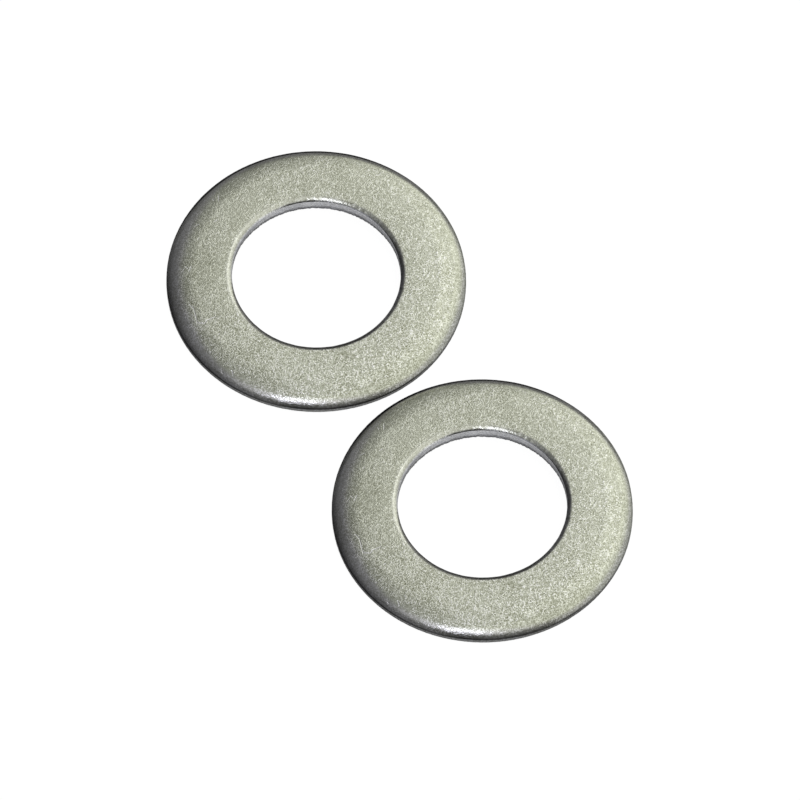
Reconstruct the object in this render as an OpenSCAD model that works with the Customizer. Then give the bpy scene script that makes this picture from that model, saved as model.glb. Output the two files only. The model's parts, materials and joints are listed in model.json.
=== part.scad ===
/* [Washer] */
// Outside diameter, at the rim's widest line
outer_d = 25.4; // [22:0.1:32]
// Bore diameter, along its straight land
bore_d = 14.3; // [10:0.1:17]
// Thickness, from the bottom face to the top face
thickness = 1.6; // [1.3:0.1:2.2]

/* [Rolled outer edge] */
// Width of the rolled edge, from the rim in to the flat of the top face
roll_w = 2.5; // [2:0.1:3]
// Height of the upright land at the foot of the rim
rim_land_h = 0.43; // [0.3:0.01:0.8]
// Break along the bottom edge of the rim
rim_break = 0.04; // [0.02:0.01:0.08]

/* [Bore edges] */
// Radius where the top face turns down into the bore
bore_lip_r = 0.25; // [0.1:0.05:0.4]
// Height of the torn zone, where the bore opens towards the bottom face
tear_h = 0.7; // [0.3:0.05:0.8]
// How far the torn zone opens on each side at the bottom face
tear_flare = 0.15; // [0.05:0.01:0.3]

/* [Pair] */
// Clear gap between the two rims
pair_gap = 1; // [0.5:0.1:5]
// Angle below +X of the line from the rear washer's axis to the front washer's
pair_angle = 57.2; // [30:0.1:90]

/* [Hidden] */
$fn = 180;
zinc = [0.74, 0.75, 0.68];
outer_r = outer_d / 2;
bore_r = bore_d / 2;

// The rolled edge is an arc that leaves the top face flat and ends in a corner at the top of the land
roll_x = outer_r - roll_w;
roll_drop = thickness - rim_land_h;
roll_r = (roll_w ^ 2 + roll_drop ^ 2) / (2 * roll_drop);

// The bore's lip is a quarter of a circle between the top face and the straight land
lip_x = bore_r + bore_lip_r;
lip_y = thickness - bore_lip_r;

// The origin is midway between the two axes, on the surface that both washers lie on
axis_spacing = outer_d + pair_gap;
pair_x = axis_spacing / 2 * cos(pair_angle);
pair_y = axis_spacing / 2 * sin(pair_angle);

// The section of a washer: X is the distance from its axis, Y the height above its bottom face
module section() {
    // The roll, cut off upright at the rim
    intersection() {
        translate([roll_x, thickness - roll_r]) circle(roll_r);
        translate([roll_x, rim_break]) square([roll_w, thickness - rim_break]);
    }
    // The lip of the bore
    intersection() {
        translate([lip_x, lip_y]) circle(bore_lip_r);
        translate([bore_r, lip_y]) square(bore_lip_r);
    }
    // All the rest
    polygon([
        [bore_r + tear_flare, 0],
        [outer_r - rim_break, 0],
        [outer_r, rim_break],
        [roll_x, rim_break],
        [roll_x, thickness],
        [lip_x, thickness],
        [lip_x, lip_y],
        [bore_r, lip_y],
        [bore_r, tear_h]
    ]);
}

// One washer, punched as a single piece, with its rolled side up
module washer() {
    rotate_extrude() section();
}

module rear_washer() {
    color(zinc) translate([-pair_x, pair_y, 0]) washer();
}

module front_washer() {
    color(zinc) translate([pair_x, -pair_y, 0]) washer();
}

rear_washer();
front_washer();
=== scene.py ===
"""Looks of a pair of flat washers, punched from steel sheet and zinc plated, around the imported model."""
import json
import math
from functools import reduce

import bpy
import numpy as np
from mathutils import Matrix, Vector, noise


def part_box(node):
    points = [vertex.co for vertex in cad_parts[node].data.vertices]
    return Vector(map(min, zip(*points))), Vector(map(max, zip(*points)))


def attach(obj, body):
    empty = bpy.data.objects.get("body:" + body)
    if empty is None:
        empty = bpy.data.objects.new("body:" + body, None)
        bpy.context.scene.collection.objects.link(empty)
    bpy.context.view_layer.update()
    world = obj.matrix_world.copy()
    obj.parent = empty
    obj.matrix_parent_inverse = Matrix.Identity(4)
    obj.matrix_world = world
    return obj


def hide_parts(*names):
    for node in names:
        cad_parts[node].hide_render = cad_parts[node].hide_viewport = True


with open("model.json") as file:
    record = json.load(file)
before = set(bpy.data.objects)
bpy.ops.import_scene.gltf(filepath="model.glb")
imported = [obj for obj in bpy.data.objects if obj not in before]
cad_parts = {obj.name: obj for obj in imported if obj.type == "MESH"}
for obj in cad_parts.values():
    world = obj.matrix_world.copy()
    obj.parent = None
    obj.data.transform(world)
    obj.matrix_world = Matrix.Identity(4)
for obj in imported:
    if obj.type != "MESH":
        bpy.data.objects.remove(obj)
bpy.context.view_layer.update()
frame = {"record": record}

MM = 0.001

# The washer's sizes in millimetres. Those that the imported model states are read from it
rear_low, rear_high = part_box("rear_washer")
front_low, front_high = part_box("front_washer")
mounts = {m["name"]: m for m in frame["record"]["mounts"]}
OUTER_R = (rear_high.x - rear_low.x) / 2 / MM
THICKNESS = (rear_high.z - rear_low.z) / MM
BORE_R = mounts["rear_bore"]["dims"]["r_mm"]
ROLL_W = 2.5
LAND_H = 0.43
RIM_BREAK = 0.04
TEAR_H = 0.7
TEAR_FLARE = 0.15
ROLL_DROP = THICKNESS - LAND_H
ROLL_R = (ROLL_W ** 2 + ROLL_DROP ** 2) / (2 * ROLL_DROP)

# The mesh: steps round the washer, and steps along each stretch of its section
STEPS_ROUND = 880
STEPS = {"bottom": 13, "break": 2, "land": 5, "corner": 4, "roll": 32, "face": 27,
         "lip": 9, "bore": 6, "tear": 10, "foot": 2}

# Fine form, in millimetres
CORNER_R = 0.05
FOOT_R = 0.04
# How far the corner's centre lies below the top of the land, as a share of its radius
CORNER_DROP = 0.6
# The roll starts this many degrees past the end of the corner
ROLL_START = 1.5
# The face falls off outwards from this radius, by this much at the roll
CROWN_X = 7.8
CROWN = 0.11
# The bore's edge is rolled in further than it is down
LIP_W = 0.37
LIP_H = 0.25
LIP_BEVEL = 1.75

# Unevenness round the bore: swing, width of the features in millimetres, and seed. The torn zone's top swings
# in millimetres, and the lip by a share of its size
TEAR_SWINGS = [(0.10, 1.6, 1), (0.05, 0.35, 2)]
LIP_SWINGS = [(0.10, 0.9, 3), (0.04, 0.25, 4)]
# Waviness of the whole skin, in millimetres: height, width of the features, and shift of the noise
WAVES = [(0.0045, 2.6, 0), (0.0028, 0.45, 50)]
# Upright streaks and crumbs in the torn zone: height, width, and seed or shift, and where they start and how
# far down they are full
TORN_STREAK = (0.035, 0.16, 5)
TORN_CRUMB = (0.02, 0.3, 90)
TORN_START = TEAR_H + 0.05
TORN_GROW = 0.25
# Ripple of the land: height, width and seed, its middle, where it starts, how far down it is full, and how
# far in from the rim it goes
LAND_RIPPLE = (0.012, 0.3, 6)
RIPPLE_MID = 0.3
RIPPLE_START = LAND_H + 0.02
RIPPLE_GROW = 0.05
RIPPLE_BAND = 0.1
# How far the skin may reach into the bore, and the slack in a comparison of sizes
BORE_REACH = 0.02
SLACK = 1e-6
# How many octaves the noise has, and how far one seed's circle is from the next one's in millimetres
OCTAVES = 2
SEED_STEP = 37.7


def smooth(x):
    """0 below 0, 1 above 1 and an eased step between."""
    x = np.clip(x, 0, 1)
    return x * x * (3 - 2 * x)


def field(points, size):
    """Noise at points in millimetres, with features about size wide, from -1 to 1."""
    scaled = points / size
    values = [noise.fractal(Vector(p), 1.0, 2.0, OCTAVES, noise_basis="PERLIN_NEW") for p in scaled]
    return np.array(values)


def ring_noise(angles, radius, size, seed):
    """Noise round a circle: one value for each angle, with features about size wide."""
    shift = np.full(len(angles), seed * SEED_STEP)
    circle = np.column_stack([radius * np.cos(angles), radius * np.sin(angles), shift])
    return field(circle, size)


def uneven(angles, middle, swings):
    """A size that swings about its middle round the bore: one value for each angle."""
    return sum((swing * ring_noise(angles, BORE_R, size, seed) for swing, size, seed in swings), middle)


def arc(centre, radius, start, end, steps):
    """Points of an arc in the section, from the angle start up to end, which is left for the next stretch."""
    turn = np.radians(np.linspace(start, end, steps, endpoint=False))
    return np.asarray(centre) + np.asarray(radius) * np.column_stack([np.cos(turn), np.sin(turn)])


def line(start, end, steps):
    """Points of a straight stretch of the section, without its end."""
    share = np.linspace(0, 1, steps, endpoint=False)[:, None]
    return np.asarray(start) * (1 - share) + np.asarray(end) * share


def rolled_in(lip_x, lip_y, lip, steps):
    """The bore's edge from the face down to the straight land: almost a bevel, with both its ends eased."""
    turn = np.radians(np.linspace(90, 0, steps, endpoint=False))
    across = lip_x - LIP_W * lip * np.cos(turn) ** LIP_BEVEL
    return np.column_stack([across, lip_y + LIP_H * lip * np.sin(turn) ** LIP_BEVEL])


def section(tear_h, lip):
    """The closed section for one angle, as (radius, height) in millimetres, from the bore's foot outwards."""
    roll_end = 90 - math.degrees(math.asin(ROLL_W / ROLL_R))
    roll_x = OUTER_R - ROLL_W
    lip_x = BORE_R + LIP_W * lip
    lip_y = THICKNESS - LIP_H * lip
    foot = (BORE_R + TEAR_FLARE + FOOT_R, 0)
    corner_c = (OUTER_R - CORNER_R, LAND_H - CORNER_DROP * CORNER_R)
    roll_c = (roll_x, THICKNESS - ROLL_R)
    face_x = np.linspace(roll_x, lip_x, STEPS["face"], endpoint=False)
    parts = [
        line(foot, (OUTER_R - RIM_BREAK, 0), STEPS["bottom"]),
        line((OUTER_R - RIM_BREAK, 0), (OUTER_R, RIM_BREAK), STEPS["break"]),
        line((OUTER_R, RIM_BREAK), (OUTER_R, corner_c[1]), STEPS["land"]),
        arc(corner_c, CORNER_R, 0, roll_end, STEPS["corner"]),
        arc(roll_c, ROLL_R, roll_end + ROLL_START, 90, STEPS["roll"]),
        np.column_stack([face_x, np.full(len(face_x), THICKNESS)]),
        rolled_in(lip_x, lip_y, lip, STEPS["lip"]),
        line((BORE_R, lip_y), (BORE_R, tear_h), STEPS["bore"]),
        line((BORE_R, tear_h), (BORE_R + TEAR_FLARE, FOOT_R), STEPS["tear"]),
        line((BORE_R + TEAR_FLARE, FOOT_R), foot, STEPS["foot"]),
    ]
    points = np.concatenate(parts)
    # The face is a little domed, and the roll takes that up on its way down to the land
    out = points[:, 0] - CROWN_X
    dome = CROWN * (np.clip(out, 0, None) / (roll_x - CROWN_X)) ** 2
    points[:, 1] -= dome * np.clip((OUTER_R - points[:, 0]) / ROLL_W, 0, 1) * (points[:, 1] > LAND_H)
    return points


def washer_sections():
    """The angles round one washer, its section at each of them, and the normals in those sections."""
    angles = np.linspace(0, 2 * np.pi, STEPS_ROUND, endpoint=False)
    tear_h = uneven(angles, TEAR_H, TEAR_SWINGS)
    lip = uneven(angles, 1, LIP_SWINGS)
    flat = np.array([section(t, l) for t, l in zip(tear_h, lip)])
    along = np.roll(flat, -1, axis=1) - np.roll(flat, 1, axis=1)
    along /= np.linalg.norm(along, axis=2, keepdims=True)
    normal = np.stack([along[..., 1], -along[..., 0]], axis=2)
    return angles, flat, normal


def turned(angles, flat):
    """Section points, one section for each angle, as points in space."""
    c, s = np.cos(angles)[:, None], np.sin(angles)[:, None]
    return np.stack([flat[..., 0] * c, flat[..., 0] * s, flat[..., 1]], axis=2)


def relief_of(angles, flat):
    """How far the skin stands out at each point of the sections, in millimetres."""
    space = turned(angles, flat).reshape(-1, 3)
    radius, height = flat[..., 0], flat[..., 1]
    relief = sum(tall * field(space + shift, size) for tall, size, shift in WAVES).reshape(radius.shape)

    tall, size, seed = TORN_STREAK
    streaks = ring_noise(angles, BORE_R, size, seed)[:, None] * tall
    tall, size, shift = TORN_CRUMB
    crumbs = field(space + shift, size).reshape(radius.shape) * tall
    in_bore = radius < BORE_R + TEAR_FLARE + FOOT_R + SLACK
    relief = relief + smooth((TORN_START - height) / TORN_GROW) * in_bore * (streaks + crumbs)

    tall, size, seed = LAND_RIPPLE
    ripple = ring_noise(angles, OUTER_R, size, seed)[:, None] - RIPPLE_MID
    at_rim = radius > OUTER_R - RIPPLE_BAND
    return relief + smooth((RIPPLE_START - height) / RIPPLE_GROW) * at_rim * tall * ripple


def washer_mesh(name):
    """The mesh of one washer about its own axis, in metres."""
    angles, flat, normal = washer_sections()
    flat = flat + normal * relief_of(angles, flat)[..., None]
    flat[..., 1] = np.clip(flat[..., 1], 0, THICKNESS)
    flat[..., 0] = np.clip(flat[..., 0], BORE_R - BORE_REACH, OUTER_R)
    points = turned(angles, flat)
    rounds, stops = flat.shape[:2]
    i, j = np.meshgrid(np.arange(rounds), np.arange(stops), indexing="ij")
    i2, j2 = (i + 1) % rounds, (j + 1) % stops
    corners = [i * stops + j, i2 * stops + j, i2 * stops + j2, i * stops + j2]
    faces = np.stack(corners, axis=2).reshape(-1, 4)
    mesh = bpy.data.meshes.new(name)
    mesh.from_pydata(points.reshape(-1, 3) * MM, [], faces.tolist())
    mesh.polygons.foreach_set("use_smooth", np.ones(len(faces), bool))
    mesh.update()
    return mesh


# A mix node's two colour inputs and its colour output
MIX_FIRST = 6
MIX_SECOND = 7
MIX_RESULT = 2


class Nodes:
    """Short calls for making and joining the nodes of one tree."""

    def __init__(self, tree):
        self.tree = tree

    def add(self, kind, inputs=None, **settings):
        node = self.tree.nodes.new(kind)
        for key, value in settings.items():
            setattr(node, key, value)
        for key, value in (inputs or {}).items():
            self.plug(node.inputs[key], value)
        return node

    def plug(self, socket, value):
        if isinstance(value, bpy.types.NodeSocket):
            self.tree.links.new(value, socket)
        else:
            socket.default_value = value

    def math(self, operation, *values, clamp=False):
        node = self.add("ShaderNodeMath", dict(enumerate(values)), operation=operation, use_clamp=clamp)
        return node.outputs[0]

    def plus(self, first, second):
        return self.math("ADD", first, second)

    def minus(self, first, second):
        return self.math("SUBTRACT", first, second)

    def times(self, first, second):
        return self.math("MULTIPLY", first, second)

    def most(self, first, second):
        return self.math("MAXIMUM", first, second)

    def size_of(self, value):
        """value without its sign."""
        return self.math("ABSOLUTE", value)

    def added(self, start, value, factor):
        """start with factor times value added."""
        return self.math("MULTIPLY_ADD", value, factor, start)

    def vector(self, operation, *values, **more):
        """The result of a vector operation, which is a number for a length, a distance or a dot product."""
        node = self.add("ShaderNodeVectorMath", {**dict(enumerate(values)), **more}, operation=operation)
        is_number = operation in ("LENGTH", "DISTANCE", "DOT_PRODUCT")
        return node.outputs["Value" if is_number else "Vector"]

    def joined(self, *values):
        """Up to three numbers as one vector."""
        return self.add("ShaderNodeCombineXYZ", dict(enumerate(values))).outputs[0]

    def ramp(self, value, low, high, to_low=0.0, to_high=1.0):
        """value eased from low..high to to_low..to_high."""
        node = self.add("ShaderNodeMapRange", {0: value, 1: low, 2: high, 3: to_low, 4: to_high},
                        interpolation_type="SMOOTHSTEP")
        return node.outputs[0]

    def between(self, share, start, end):
        """An eased way from start to end, as share goes from 0 to 1."""
        return self.ramp(share, 0.0, 1.0, start, end)

    def mix(self, share, first, second):
        inputs = {0: share, MIX_FIRST: first, MIX_SECOND: second}
        return self.add("ShaderNodeMix", inputs, data_type="RGBA").outputs[MIX_RESULT]


# An eased step is given as (from, to), and goes from 0 to 1, or as (from, to, value at from, value at to).
# Places on a washer are about its axis, in millimetres, or by the way round it: side is 1 at its right and -1
# at its left, and depth is 1 at its far side and -1 at its near side

# Colours of the plating
FACE_COLOUR = (0.60, 0.618, 0.512, 1)
ROLL_COLOUR = (0.60, 0.60, 0.57, 1)
RIM_COLOUR = (0.33, 0.33, 0.32, 1)
# Painted light on the rim: lighter on its far side, and lighter and warmer on its right side
RIM_PAINTED_LIT = (0.50, 0.50, 0.48, 1)
RIM_PAINTED_LIT_WARM = (0.50, 0.51, 0.46, 1)
LAND_COLOUR = (0.33, 0.33, 0.33, 1)
# Painted shade: the dark line along the top of the land
LINE_COLOUR = (0.09, 0.09, 0.09, 1)
# Painted shade: the dark line along the bore's edge, lighter on the painted lit side
LIP_SHADE_COLOUR = (0.16, 0.16, 0.15, 1)
LIP_SHADE_LIT = (0.26, 0.26, 0.25, 1)
WALL_COLOUR = (0.77, 0.78, 0.82, 1)
TORN_COLOUR = (0.28, 0.28, 0.30, 1)
# How much the metal shines at a grazing angle
GRAZING = (0.35, 0.35, 0.35, 1)

# Noise in the plating: width of the features in millimetres, detail, roughness and seed
SPECK_NOISE = (0.09, 2.0, 0.6, 0)
CLOUD_NOISE = (2.2, 3.0, 0.55, 1)
TORN_NOISE = (0.4, 2.0, 0.6, 2)
LIP_SHADE_NOISE = (0.3, 2.0, 0.6, 3)
WORN_NOISE = (0.35, 2.0, 0.6, 6)
EDGE_NOISE = (0.35, 2.0, 0.6, 7)
PATCH_NOISE = (3.0, 1.0, 0.5, 8)
STREAK_NOISE = (0.3, 3.0, 0.6, 9)
# How far one seed is from the next in millimetres, and the middle and the usual span of a noise
NOISE_STEP = (7.3, 3.9, 5.1)
NOISE_MID = 0.5
NOISE_SPAN = (0.3, 0.7)

# Strokes of the grain: width in millimetres, and heading in degrees from +X
STROKES = [(0.30, 38), (0.24, -40), (0.36, 75)]
STROKE_LONG = 1.8
STROKE_REACH = 0.05
STROKE_DETAIL = 1.0
STROKE_ROUGH = 0.5
STROKE_SEED = 4
# Noise that breaks the strokes off, how much further on its seeds are, and where a stroke shows in it
BREAK_NOISE = (0.18, 1.0, 0.5)
BREAK_SEED = 10
BREAK_SPAN = (0.38, 0.60)
# Shares of strokes and specks in the grain, its mean, and what it does to tone, roughness and relief
STROKE_SHARE = 0.6
SPECK_SHARE = 0.5
GRAIN_MID = 0.33
GRAIN_TONE = 1.45
GRAIN_ROUGH = 0.12
GRAIN_DEPTH = 0.025

# Roughness, strength of the relief and share of the grain's tone on the face, and where the plating is calm
FACE_ROUGH = 0.26
ROLL_ROUGH = 0.15
FACE_BUMP = 0.65
CALM_BUMP = 0.15
CALM = 0.65

# Scratches and scuffs on the top side, each from one point to another: x, y, x, y
MARKS = [(-10.7, -3.1, -10.3, -3.6), (-10.3, -3.7, -10.0, -4.9), (-10.0, -4.9, -9.4, -5.0),
         (-9.4, -5.0, -9.2, -4.7), (-9.2, -4.7, -8.5, -4.4), (-10.4, 4.6, -10.0, 4.8),
         (-8.4, 7.7, -8.4, 7.1), (-8.9, 7.4, -8.8, 7.2), (-11.1, 0.6, -10.9, 0.4),
         (-10.8, 0.1, -10.6, 0.6), (-11.4, 0.1, -11.2, 0.4), (-8.7, 5.0, -8.5, 5.1),
         (-10.1, 3.2, -10.0, 3.4), (-8.4, -8.2, -8.3, -8.1), (-7.9, -9.3, -7.8, -9.5),
         (-7.0, -9.4, -6.9, -9.8), (-8.2, -6.1, -8.1, -6.0), (-8.9, -7.7, -8.8, -7.6)]
# A mark is full up to MARK_CORE from its line, gone at MARK_W, and ends on the way down to the land
MARK_W = 0.06
MARK_CORE = 0.02
MARK_FOOT = (LAND_H, LAND_H + 0.3)
MARK_TONE = 1.2
MARK_ROUGH = 0.10
MARK_DEPTH = 0.8

# Faint stains on the face, and broad painted light and shade, darker on the left, near right and far side and
# lighter on the right and near side: place, reach, and change of tone
STAINS_AND_SHADE = [(5.0, -10.8, 3.2, -0.13), (8.4, -8.8, 3.2, -0.13), (2.2, -8.2, 1.5, -0.09),
          (-1.6, -10.2, 2.6, 0.08), (9.4, 1.4, 3.4, 0.05), (-9.4, 0.8, 3.8, -0.08),
          (-11.3, -1.5, 3.6, -0.10), (1.6, 10.6, 2.4, -0.09), (-5.6, -7.8, 2.4, -0.06)]

# Painted light: the right side of the ring is brighter, by side, less a share of the depth either way
BRIGHT_TURN = -0.15
BRIGHT_SIDE = (0.45, 0.75)
# By radius: the rolled edge, the bore, and the faces that lead down into it, with a ragged start
OUTSIDE = (OUTER_R - ROLL_W - 0.5, OUTER_R - ROLL_W)
INSIDE = (BORE_R + TEAR_FLARE + 0.15, BORE_R + 0.12)
EDGE_START = (BORE_R + LIP_W + 0.35, BORE_R + LIP_W - 0.10)
EDGE_RAGGED = 0.8
EDGE_TINT = 0.35
EDGE_CALM = 0.8
LIP_START = (BORE_R + LIP_W + 0.05, BORE_R + LIP_W - 0.10)
LIP_CALM = 0.95
# By height: the wall of the bore, the torn zone in it, with a ragged top, and the bottom side
WALL_TOP = (THICKNESS - 0.12, THICKNESS - LIP_H)
TORN_TOP = (TEAR_H + 0.05, TEAR_H - 0.45)
TORN_RAGGED = 0.4
UNDER_TOP = (0.03, 0.01)

# The roll loses the face's tint at this height, which is lower on the right and higher on the left, as
# painted light colour: warmer on the right, more neutral on the left
TINT_FOOT = (1.10, 0.80)
TINT_RIGHT = (0.0, 0.7, 0.0, 0.25)
TINT_LEFT = (-0.6, -0.95, 0.0, -0.28)
# The roll is worn from this height down, with a ragged start
WORN_TOP = (1.22, 0.95)
WORN_RAGGED = 0.5
# The rim, which starts higher on the far side and is brighter there, with painted light and shade that go by
# side
RIM_TOP = (0.84, 0.50)
RIM_LIFT = (0.0, 0.8, 0.0, 0.15)
RIM_FAR = (0.5, 0.85)
RIM_FAR_SHARE = 0.8
# The land, and the painted shade line along its top, which lies higher on the far side and ends towards the
# right
LAND_TOP = (LAND_H, LAND_H - 0.06)
LINE_TOP = (LAND_H + 0.12, LAND_H + 0.05)
LINE_FOOT = (LAND_H - 0.09, LAND_H - 0.03)
LINE_LIFT = 0.20
LINE_LIFT_DEPTH = (0.25, 0.75)
LINE_LIFT_SIDE = (0.75, 0.2)

# The painted shade line along the bore's edge: the side where it is widest, its reach out from the bore by
# the way round, and how much more that is on the near side
DARK_SIDE = (0.35, -0.94, 0)
DARK_REACH = (-0.6, 0.3, -0.08, 0.28)
DARK_NEAR = (-0.4, -0.9)
DARK_NEAR_MORE = 0.10
# On the far side, a little left of the middle, the painted shade reaches further
SHADE_FAR_LEFT = (-0.55, -0.33)
SHADE_FAR_RIGHT = (0.06, -0.04)
SHADE_FAR_DEPTH = (0.5, 0.7)
SHADE_FAR_MORE = 0.17
# The line's ragged outer side, its fade there, and its foot
DARK_RAGGED = 0.06
DARK_FADE = (0.11, -0.05)
DARK_FOOT = (THICKNESS - LIP_H - 0.02, THICKNESS - LIP_H + 0.05)

# The grain is uneven: in patches, and by place across the face
PATCH_LOUD = (0.88, 1.12)
LOUD_BY_Y = (-10.0, 10.0, 0.12, -0.15)
LOUD_BY_X = (-10.0, 10.0, -0.04, 0.08)
LOUD_LEFT = (-9.5, -3.0, -0.16, 0.0)
# Tone: clouds, a painted highlight in a band round the left of the bore, streaks in its wall, and how much
# more blue swings
CLOUD_TONE = 0.06
BORE_HIGHLIGHT_OUTER = (BORE_R + 0.60, BORE_R + 0.42)
BORE_HIGHLIGHT_INNER = (BORE_R + 0.15, BORE_R + 0.32)
BORE_HIGHLIGHT_SIDE = (-0.70, -0.95)
BORE_HIGHLIGHT_TONE = 0.18
STREAK_TONE = 0.10
BLUE_SWING = 0.15


class Plating(Nodes):
    """The tree of the plating, with the places that it depends on and the zones that its parts share."""

    def __init__(self, tree):
        super().__init__(tree)
        place = self.add("ShaderNodeTexCoord").outputs["Object"]
        self.mm = self.vector("MULTIPLY", place, (1 / MM,) * 3)
        self.x, self.y, self.height = self.add("ShaderNodeSeparateXYZ", {0: self.mm}).outputs
        self.flat = self.joined(self.x, self.y)
        self.radius = self.vector("LENGTH", self.flat)
        self.side = self.math("DIVIDE", self.x, self.radius)
        self.depth = self.math("DIVIDE", self.y, self.radius)
        # Painted light: where the ring's right side is lit
        self.bright = self.ramp(self.added(self.side, self.size_of(self.depth), BRIGHT_TURN), *BRIGHT_SIDE)
        self.outside = self.ramp(self.radius, *OUTSIDE)
        self.inside = self.ramp(self.radius, *INSIDE)
        self.edge = self.ramp(self.ragged(self.radius, EDGE_NOISE, EDGE_RAGGED), *EDGE_START)
        self.wall = self.times(self.inside, self.ramp(self.height, *WALL_TOP))
        self.under = self.ramp(self.height, *UNDER_TOP)

    def noise_at(self, size, detail, rough, seed):
        """Noise from 0 to 1, with features about size wide in millimetres."""
        moved = self.vector("ADD", self.mm, shift_of(seed))
        inputs = {"Vector": moved, "Scale": 1 / size, "Detail": detail, "Roughness": rough}
        return self.add("ShaderNodeTexNoise", inputs).outputs[0]

    def ragged(self, value, noise_row, swing):
        """value with noise about its middle added."""
        return self.added(value, self.minus(self.noise_at(*noise_row), NOISE_MID), swing)


def shift_of(seed):
    """How far a noise is moved for a seed, in millimetres."""
    return tuple(seed * step for step in NOISE_STEP)


def strokes(n, size, heading, seed):
    """Thin curved strokes along a heading, which come and go along their length."""
    inputs = {"Vector": n.mm, "Location": shift_of(seed), "Rotation": (0, 0, math.radians(heading)),
              "Scale": (STROKE_LONG, 1, 1)}
    along = n.add("ShaderNodeMapping", inputs, vector_type="TEXTURE").outputs[0]
    inputs = {"Vector": along, "Scale": 1 / size, "Detail": STROKE_DETAIL, "Roughness": STROKE_ROUGH}
    wave = n.add("ShaderNodeTexNoise", inputs).outputs[0]
    ridge = n.size_of(n.minus(wave, NOISE_MID))
    shown = n.ramp(n.noise_at(*BREAK_NOISE, seed + BREAK_SEED), *BREAK_SPAN)
    return n.times(n.ramp(ridge, STROKE_REACH, 0.0), shown)


def plate_grain(n):
    """The grain of the plating: crossed strokes and specks."""
    each = [strokes(n, size, heading, seed) for seed, (size, heading) in enumerate(STROKES, STROKE_SEED)]
    specks = n.ramp(n.noise_at(*SPECK_NOISE), *NOISE_SPAN)
    return n.plus(n.times(reduce(n.most, each), STROKE_SHARE), n.times(specks, SPECK_SHARE))


def mark(n, x1, y1, x2, y2):
    """1 along a line on the top side, 0 away from it."""
    span = (x2 - x1, y2 - y1, 0.0)
    off = n.vector("SUBTRACT", n.flat, (x1, y1, 0.0))
    share = n.vector("DOT_PRODUCT", off, span)
    share = n.math("MULTIPLY", share, 1 / (span[0] ** 2 + span[1] ** 2), clamp=True)
    nearest = n.vector("SCALE", span, Scale=share)
    return n.ramp(n.vector("DISTANCE", off, nearest), MARK_W, MARK_CORE)


def plate_marks(n):
    """1 on the scratches and scuffs of the top side, 0 elsewhere."""
    return n.times(reduce(n.most, [mark(n, *ends) for ends in MARKS]), n.ramp(n.height, *MARK_FOOT))


def rim_shade_line(n):
    """1 on the painted shade line along the top of the land, which fades out on the painted lit side."""
    lifted = n.times(n.ramp(n.depth, *LINE_LIFT_DEPTH), n.ramp(n.side, *LINE_LIFT_SIDE))
    upper = n.ramp(n.minus(n.height, n.times(lifted, LINE_LIFT)), *LINE_TOP)
    line_zone = n.times(n.outside, n.times(upper, n.ramp(n.height, *LINE_FOOT)))
    return n.times(line_zone, n.minus(1.0, n.bright))


def lip_shade_line(n):
    """1 on the painted shade line along the bore's edge."""
    reach = n.ramp(n.math("DIVIDE", n.vector("DOT_PRODUCT", n.flat, DARK_SIDE), n.radius), *DARK_REACH)
    reach = n.added(reach, n.ramp(n.depth, *DARK_NEAR), DARK_NEAR_MORE)
    far_shade = n.times(n.ramp(n.side, *SHADE_FAR_LEFT), n.ramp(n.side, *SHADE_FAR_RIGHT))
    far_shade = n.times(far_shade, n.ramp(n.depth, *SHADE_FAR_DEPTH))
    reach = n.added(reach, far_shade, SHADE_FAR_MORE)
    reach = n.added(n.minus(reach, DARK_RAGGED / 2), n.noise_at(*LIP_SHADE_NOISE), DARK_RAGGED)
    past = n.minus(n.minus(n.radius, BORE_R), reach)
    return n.times(n.ramp(past, *DARK_FADE), n.ramp(n.height, *DARK_FOOT))


def plate_colour(n):
    """The colour of the plating before its grain, from the face out over the rim and in down the bore, with
    painted light and shade on the rim and along the bore's edge.
    """
    # Painted light colour: the face's tint reaches further down the roll on the right than on the left
    tint_drop = n.plus(n.ramp(n.side, *TINT_RIGHT), n.ramp(n.side, *TINT_LEFT))
    steep = n.times(n.outside, n.ramp(n.plus(n.height, tint_drop), *TINT_FOOT))
    base = n.mix(n.most(steep, n.times(n.edge, EDGE_TINT)), FACE_COLOUR, ROLL_COLOUR)

    # The rim, with painted light that makes it lighter on its right and far side
    rim = n.times(n.outside, n.ramp(n.minus(n.height, n.ramp(n.depth, *RIM_LIFT)), *RIM_TOP))
    painted_lit_rim = n.most(n.bright, n.times(n.ramp(n.depth, *RIM_FAR), RIM_FAR_SHARE))
    base = n.mix(rim, base, n.mix(painted_lit_rim, RIM_COLOUR, n.mix(n.bright, RIM_PAINTED_LIT, RIM_PAINTED_LIT_WARM)))
    base = n.mix(n.times(n.outside, n.ramp(n.height, *LAND_TOP)), base, LAND_COLOUR)
    # A painted shade line along the top of the land
    base = n.mix(rim_shade_line(n), base, LINE_COLOUR)

    torn_height = n.added(n.height, n.noise_at(*TORN_NOISE), TORN_RAGGED)
    base = n.mix(n.wall, base, WALL_COLOUR)
    base = n.mix(n.times(n.inside, n.ramp(torn_height, *TORN_TOP)), base, TORN_COLOUR)
    # A painted shade line along the bore's edge, lighter on the painted lit side
    base = n.mix(lip_shade_line(n), base, n.mix(n.bright, LIP_SHADE_COLOUR, LIP_SHADE_LIT))
    # The bottom side is plated as the face is
    return n.mix(n.under, base, FACE_COLOUR)


def plate_calm(n):
    """1 where the plating is worn or smooth: on the roll and in the bore."""
    worn = n.times(n.outside, n.ramp(n.ragged(n.height, WORN_NOISE, WORN_RAGGED), *WORN_TOP))
    lip = n.times(n.ramp(n.radius, *LIP_START), LIP_CALM)
    calm = n.most(n.most(worn, n.wall), n.most(n.times(n.edge, EDGE_CALM), lip))
    return n.times(calm, n.minus(1.0, n.under))


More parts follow.
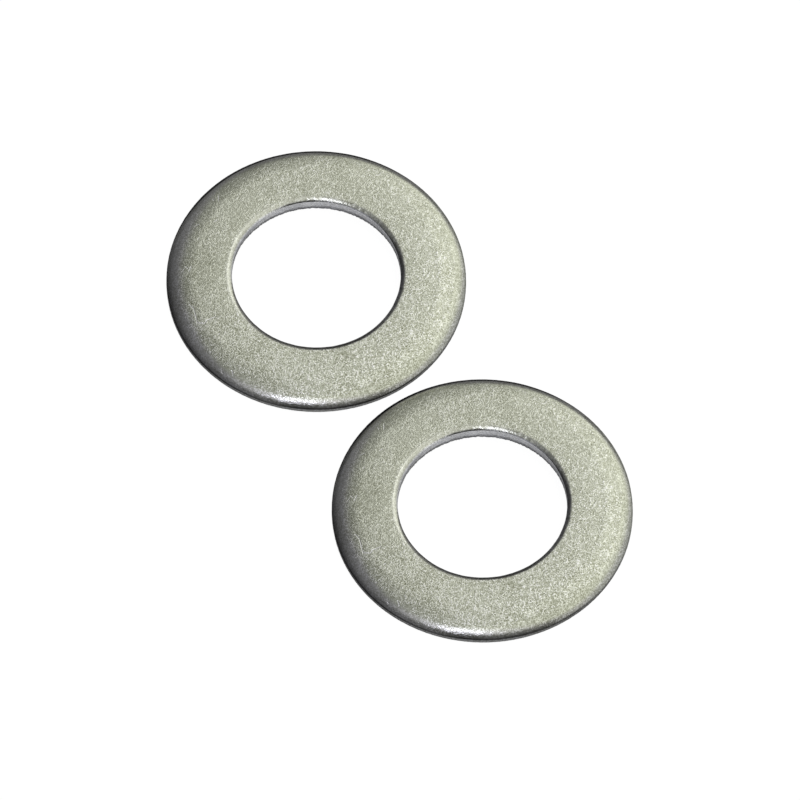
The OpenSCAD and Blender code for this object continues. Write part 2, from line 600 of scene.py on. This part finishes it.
def plate_tone(n, grain, marks, calm):
    """What the colour is multiplied by, for the grain, clouds, stains with painted light and shade, a painted
    highlight round the left of the bore, streaks and marks.
    """
    patchy = n.plus(n.ramp(n.noise_at(*PATCH_NOISE), *NOISE_SPAN, *PATCH_LOUD), n.ramp(n.y, *LOUD_BY_Y))
    patchy = n.plus(patchy, n.ramp(n.x, *LOUD_BY_X))
    patchy = n.plus(patchy, n.ramp(n.x, *LOUD_LEFT))
    loud = n.times(patchy, n.between(calm, 1.0, CALM))
    swing = n.times(n.minus(grain, GRAIN_MID), n.times(loud, GRAIN_TONE))
    clouds = n.ramp(n.noise_at(*CLOUD_NOISE), *NOISE_SPAN, -CLOUD_TONE, CLOUD_TONE)
    tone = n.plus(n.plus(1.0, swing), clouds)
    # Stains, and painted light and shade in broad patches
    for x, y, reach, change in STAINS_AND_SHADE:
        tone = n.plus(tone, n.ramp(n.vector("DISTANCE", n.flat, (x, y, 0.0)), 0.0, reach, change, 0.0))
    # A painted highlight in a band round the left of the bore
    bore_highlight = n.times(n.ramp(n.radius, *BORE_HIGHLIGHT_OUTER), n.ramp(n.radius, *BORE_HIGHLIGHT_INNER))
    bore_highlight = n.times(bore_highlight, n.ramp(n.side, *BORE_HIGHLIGHT_SIDE))
    tone = n.added(tone, bore_highlight, BORE_HIGHLIGHT_TONE)
    streaks = n.ramp(n.noise_at(*STREAK_NOISE), *NOISE_SPAN, -STREAK_TONE, STREAK_TONE)
    tone = n.added(tone, n.wall, streaks)
    tone = n.added(tone, marks, MARK_TONE)
    return n.joined(tone, tone, n.added(tone, n.minus(tone, 1.0), BLUE_SWING))


def zinc_plate():
    """Zinc plate over tumbled steel: matte grain on the face, smoother on the roll and in the bore."""
    material = bpy.data.materials.new("zinc_plate")
    material.use_nodes = True
    material.node_tree.nodes.clear()
    n = Plating(material.node_tree)
    grain = plate_grain(n)
    marks = plate_marks(n)
    calm = plate_calm(n)
    colour = n.vector("MULTIPLY", plate_colour(n), plate_tone(n, grain, marks, calm))
    rough = n.plus(n.between(calm, FACE_ROUGH, ROLL_ROUGH), n.times(n.minus(NOISE_MID, grain), GRAIN_ROUGH))
    rough = n.added(rough, marks, MARK_ROUGH)
    relief = n.minus(grain, n.times(marks, MARK_DEPTH))
    strength = n.most(n.between(calm, FACE_BUMP, CALM_BUMP), n.times(marks, FACE_BUMP))
    bump = n.add("ShaderNodeBump", {"Strength": strength, "Distance": GRAIN_DEPTH * MM, "Height": relief})
    inputs = {"Base Color": colour, "Metallic": 1.0, "Specular Tint": GRAZING, "Roughness": rough,
              "Normal": bump.outputs[0]}
    shader = n.add("ShaderNodeBsdfPrincipled", inputs)
    n.add("ShaderNodeOutputMaterial", {"Surface": shader.outputs[0]})
    return material


def make_washer(name, low, high, material):
    """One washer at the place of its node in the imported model."""
    piece = bpy.data.objects.new(name, washer_mesh(name))
    bpy.context.scene.collection.objects.link(piece)
    piece.location = ((low.x + high.x) / 2, (low.y + high.y) / 2, low.z)
    piece.data.materials.append(material)
    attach(piece, "root")
    return piece


zinc = zinc_plate()
rear = make_washer("rear_washer_plated", rear_low, rear_high, zinc)
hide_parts("rear_washer")
front = make_washer("front_washer_plated", front_low, front_high, zinc)
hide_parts("front_washer")

# The camera looks down from far off. Its elevation and roll are in degrees, and its distance is in metres
CAMERA_ELEVATION = 59.85
CAMERA_ROLL = 0.8
CAMERA_DISTANCE = 2.4
CAMERA_TARGET = Vector((0.085, -0.292, 0)) * MM
CAMERA_CLIP = (0.01, 20)
SENSOR = 36.0
# How wide the picture is in pixels, and how many of them a millimetre takes
PICTURE_W = 800
PIXELS_PER_MM = 11.83
FRAME_WIDTH = PICTURE_W / PIXELS_PER_MM * MM


def make_camera():
    """The camera, with its turn about its own line of sight."""
    e, roll = math.radians(CAMERA_ELEVATION), math.radians(CAMERA_ROLL)
    back = Vector((0, -math.cos(e), math.sin(e)))
    level = Vector((1, 0, 0))
    upright = Vector((0, math.sin(e), math.cos(e)))
    right = level * math.cos(roll) + upright * math.sin(roll)
    up = upright * math.cos(roll) - level * math.sin(roll)
    data = bpy.data.cameras.new("camera")
    data.sensor_width = SENSOR
    data.lens = SENSOR * CAMERA_DISTANCE / FRAME_WIDTH
    data.clip_start, data.clip_end = CAMERA_CLIP
    camera = bpy.data.objects.new("camera", data)
    turn = Matrix((right, up, back)).transposed().to_4x4()
    camera.matrix_world = Matrix.Translation(CAMERA_TARGET + back * CAMERA_DISTANCE) @ turn
    bpy.context.scene.collection.objects.link(camera)
    bpy.context.scene.camera = camera


# The floor: half its width in metres, how white it is, and how much of that shows straight and in the metal
FLOOR_HALF = 6.0
FLOOR_WHITE = 1.09
FLOOR_SEEN = 0.88
FLOOR_MIRRORED = 0.15
# Its paper, and the darker paper that the metal mirrors at a grazing angle, which is painted shade for the
# metal to mirror
FLOOR_PAPER = (0.9, 0.9, 0.9, 1)
FLOOR_GRAZED = (0.15, 0.15, 0.15, 1)
FLOOR_GRAZING = (0.48, 0.86)
FACING_BLEND = 0.5


def make_floor():
    """A plain pale floor, which keeps a faint shadow."""
    mesh = bpy.data.meshes.new("floor")
    half = FLOOR_HALF
    corners = [(-half, -half, 0), (half, -half, 0), (half, half, 0), (-half, half, 0)]
    mesh.from_pydata(corners, [], [(0, 1, 2, 3)])
    floor = bpy.data.objects.new("floor", mesh)
    bpy.context.scene.collection.objects.link(floor)
    material = bpy.data.materials.new("floor_white")
    material.use_nodes = True
    material.node_tree.nodes.clear()
    n = Nodes(material.node_tree)
    path = n.add("ShaderNodeLightPath")
    mirrored = path.outputs["Is Glossy Ray"]
    seen = n.most(n.times(path.outputs["Is Camera Ray"], FLOOR_SEEN), n.times(mirrored, FLOOR_MIRRORED))
    seen = n.most(seen, n.times(path.outputs["Is Transmission Ray"], FLOOR_SEEN))
    facing = n.add("ShaderNodeLayerWeight", {"Blend": FACING_BLEND}).outputs["Facing"]
    # Painted shade: the paper is darker where the metal mirrors it at a grazing angle
    paper = n.mix(n.times(mirrored, n.ramp(facing, *FLOOR_GRAZING)), FLOOR_PAPER, FLOOR_GRAZED)
    diffuse = n.add("ShaderNodeBsdfDiffuse", {"Color": paper})
    white = n.add("ShaderNodeEmission", {"Color": (1, 1, 1, 1), "Strength": FLOOR_WHITE})
    both = n.add("ShaderNodeMixShader", {0: seen, 1: diffuse.outputs[0], 2: white.outputs[0]})
    n.add("ShaderNodeOutputMaterial", {"Surface": both.outputs[0]})
    mesh.materials.append(material)


def fading(edge, soft):
    """The eased step that is 1 below an edge and 0 above it, soft on both sides of it."""
    return edge + soft, edge - soft


# The light comes from all round, and x, y and z give the way that it comes from: right, far and up.
# Light from the sides: place along x, level and warmth
SIDE_LIGHT = [(-0.95, 0.06, -0.05), (-0.85, 0.11, -0.05), (-0.76, 0.16, -0.05), (-0.66, 0.20, -0.05),
              (-0.56, 0.25, -0.03), (-0.45, 0.32, 0.0), (-0.31, 0.36, 0.0), (-0.14, 0.32, 0.02),
              (0.0, 0.69, 0.03), (0.14, 1.10, 0.03), (0.35, 1.15, 0.04), (0.6, 1.22, 0.05),
              (0.72, 1.15, 0.06), (0.80, 0.88, 0.04), (0.88, 0.65, 0.02), (0.97, 0.52, 0.0)]
SIDE_PEAK = 1.6
# Light from above and in front, against that from the far side: on the left, on the right, and how it evens
# out again at the far right
ABOVE_LEFT = 1.25
ABOVE_RIGHT = 0.75
ABOVE_MIDDLE = (-0.3, 0.3, ABOVE_LEFT - 1, ABOVE_RIGHT - 1)
ABOVE_END = (0.65, 0.9, 0.0, 1 - ABOVE_RIGHT)
ABOVE_DEPTH = (0.35, -0.05)
# Light from the far side, less of it low down, and least near the horizon, but for the right
FAR_TILT = 0.6
FAR_HEIGHT = (0.55, 0.85)
FAR_LEVEL = 0.85
HORIZON = 0.45
HORIZON_DEPTH = (0.4, 0.7)
HORIZON_HEIGHT = (0.16, -0.02)
HORIZON_SIDE = (0.45, 0.0)
# The dark front: how dark, its top edge, how that bows down to the sides, and where it ends. On the left it
# doesn't go down as far
FRONT_LEVEL = 0.20
FRONT_TOP = fading(0.765, 0.03)
FRONT_BOW = 0.22
FRONT_DEPTH = (-0.15, -0.40)
FRONT_RIGHT = (0.70, 0.59)
FRONT_FOOT = (0.10, 0.28)
FRONT_LEFT = (-0.36, -0.22)
FRONT_LEFT_FOOT = (0.47, 0.60)
# More light from the front on the left, and a little less on the right above the dark front
MORE_DEPTH = (-0.25, -0.5)
MORE_SIDE = (-0.25, -0.45, 0.0, 0.35)
LESS_SIDE = (0.10, 0.30)
LESS_DEPTH = (-0.05, -0.30)
LESS_HEIGHT = (0.68, 0.76)
LESS_LIGHT = -0.14
# The strip of light just above the dark front: its middle, its half sizes, and how its left end sinks
STRIP_X = -0.14
STRIP_Z = 0.808
STRIP_ACROSS = fading(0.19, 0.08)
STRIP_TALL = fading(0.031, 0.02)
STRIP_DEPTH = (0.0, -0.1)
STRIP_SINK = (-0.05, -0.30, 0.0, 0.03)
STRIP_LIGHT = 2.9
STRIP_TINT = (1.0, 1.0, 1.15)


def side_light(n, x):
    """The colour of the light by its place along x, over SIDE_PEAK."""
    # x goes from -1 to 1, and the places in a colour ramp from 0 to 1
    sides = n.add("ShaderNodeValToRGB", {0: n.added(0.5, x, 0.5)})
    ramp = sides.color_ramp
    ramp.interpolation = "B_SPLINE"
    while len(ramp.elements) < len(SIDE_LIGHT):
        ramp.elements.new(0.5)
    for element, (at, level, warmth) in zip(ramp.elements, SIDE_LIGHT):
        shown = level / SIDE_PEAK
        element.position = at * 0.5 + 0.5
        element.color = (shown, shown, shown * (1 - warmth), 1)
    return sides.outputs[0]


def far_light(n, x, y, z):
    """The level of the light that comes from the far side."""
    far = n.ramp(n.plus(z, n.times(n.minus(1.0, y), FAR_TILT)), *FAR_HEIGHT, FAR_LEVEL, 1.0)
    low = n.times(n.ramp(z, *HORIZON_HEIGHT), n.ramp(x, *HORIZON_SIDE))
    horizon = n.times(n.ramp(y, *HORIZON_DEPTH), low)
    return n.times(far, n.between(horizon, 1.0, HORIZON))


def front_light(n, x, y, z):
    """The level of the light that comes from the front."""
    bowed = n.added(z, n.size_of(x), FRONT_BOW)
    low = n.times(n.ramp(y, *FRONT_DEPTH), n.ramp(bowed, *FRONT_TOP))
    low = n.times(low, n.times(n.ramp(x, *FRONT_RIGHT), n.ramp(z, *FRONT_FOOT)))
    low = n.times(low, n.most(n.ramp(x, *FRONT_LEFT), n.ramp(z, *FRONT_LEFT_FOOT)))
    front = n.between(low, 1.0, FRONT_LEVEL)
    front = n.times(front, n.added(1.0, n.ramp(y, *MORE_DEPTH), n.ramp(x, *MORE_SIDE)))
    less = n.times(n.times(n.ramp(x, *LESS_SIDE), n.ramp(y, *LESS_DEPTH)), n.ramp(z, *LESS_HEIGHT))
    return n.times(front, n.added(1.0, less, LESS_LIGHT))


def strip_light(n, x, y, z):
    """1 in the strip of light, 0 round it."""
    across = n.ramp(n.size_of(n.minus(x, STRIP_X)), *STRIP_ACROSS)
    sunk = n.plus(z, n.ramp(x, *STRIP_SINK))
    tall = n.ramp(n.size_of(n.minus(sunk, STRIP_Z)), *STRIP_TALL)
    return n.times(across, n.times(tall, n.ramp(y, *STRIP_DEPTH)))


def make_world():
    """Soft light: bright on the right, dark on the left and in front, with a strip above the dark front."""
    world = bpy.data.worlds.new("studio")
    bpy.context.scene.world = world
    world.use_nodes = True
    world.node_tree.nodes.clear()
    n = Nodes(world.node_tree)
    way = n.add("ShaderNodeSeparateXYZ", {0: n.add("ShaderNodeTexCoord").outputs["Generated"]})
    x, y, z = way.outputs
    above = n.plus(n.ramp(x, *ABOVE_MIDDLE), n.ramp(x, *ABOVE_END))
    overhead = n.added(1.0, above, n.ramp(y, *ABOVE_DEPTH))
    level = n.times(n.times(overhead, far_light(n, x, y, z)), n.times(front_light(n, x, y, z), SIDE_PEAK))
    light = n.vector("SCALE", side_light(n, x), Scale=level)
    glow = n.times(strip_light(n, x, y, z), STRIP_LIGHT)
    light = n.vector("MULTIPLY_ADD", STRIP_TINT, n.joined(glow, glow, glow), light)
    lit = n.add("ShaderNodeBackground", {"Color": light, "Strength": 1.0})
    white = n.add("ShaderNodeBackground", {"Color": (1, 1, 1, 1), "Strength": 1.0})
    seen = n.add("ShaderNodeLightPath").outputs["Is Camera Ray"]
    both = n.add("ShaderNodeMixShader", {0: seen, 1: lit.outputs[0], 2: white.outputs[0]})
    n.add("ShaderNodeOutputWorld", {"Surface": both.outputs[0]})


make_camera()
make_floor()
make_world()
bpy.context.scene.view_settings.view_transform = "Standard"
